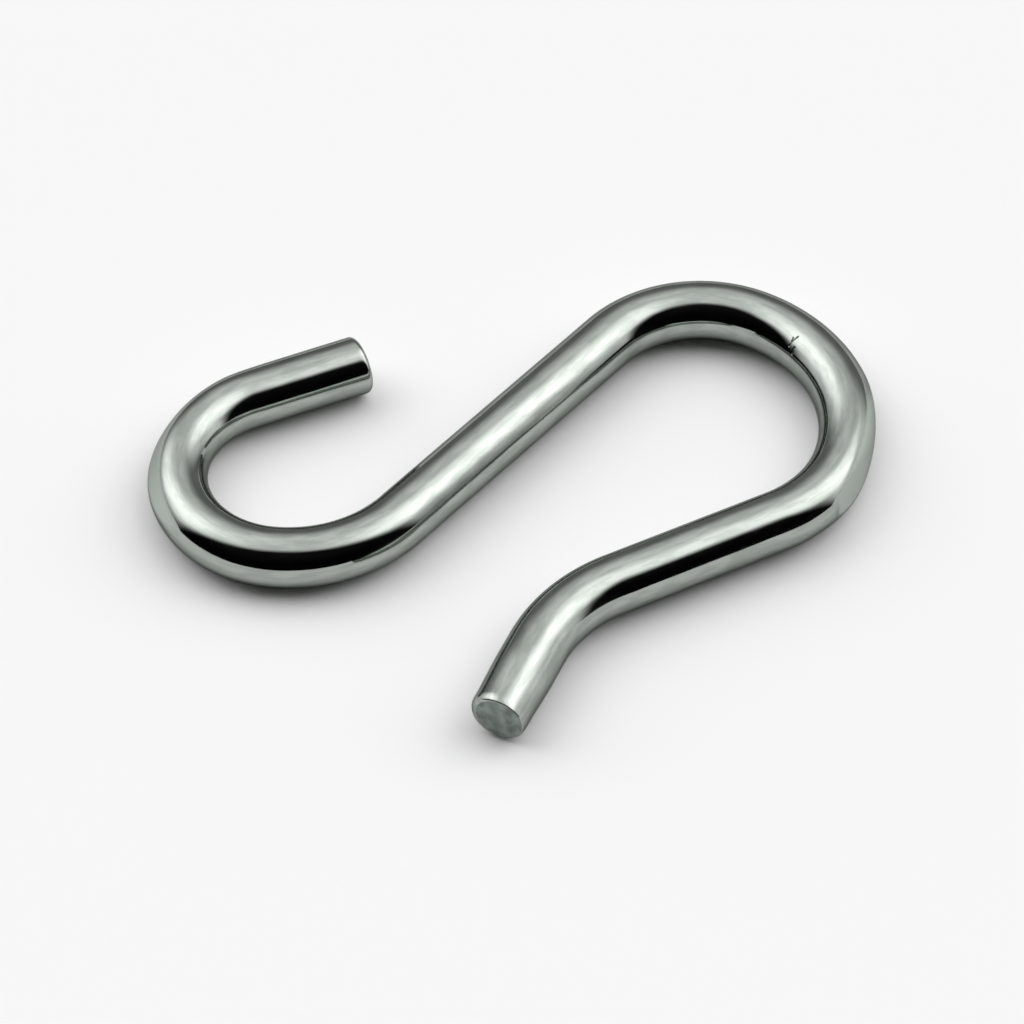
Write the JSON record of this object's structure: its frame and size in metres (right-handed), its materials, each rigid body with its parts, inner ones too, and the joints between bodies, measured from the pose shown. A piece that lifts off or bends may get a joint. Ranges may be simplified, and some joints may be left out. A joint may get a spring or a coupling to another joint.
{
  "type": "curtain hook",
  "caption": "Flat S-shaped curtain hook of round plated steel wire, with a large rail bend whose free end flares into a lip and a smaller eyelet bend.",
  "frame": {"origin": "under the middle of the hook's outline, on the plane that it lies on", "axes": "+X from the eyelet bend to the rail bend, along the hook's length; +Z square to the flat of the hook, up from the surface it lies on"},
  "size_m": [0.0488, 0.036, 0.004],
  "materials": {
    "plated_steel": "bright nickel or chrome plate over drawn steel wire, duller on the two sheared ends"
  },
  "bodies": {
    "root": {"hook": "plated_steel"}
  },
  "joints": []
}
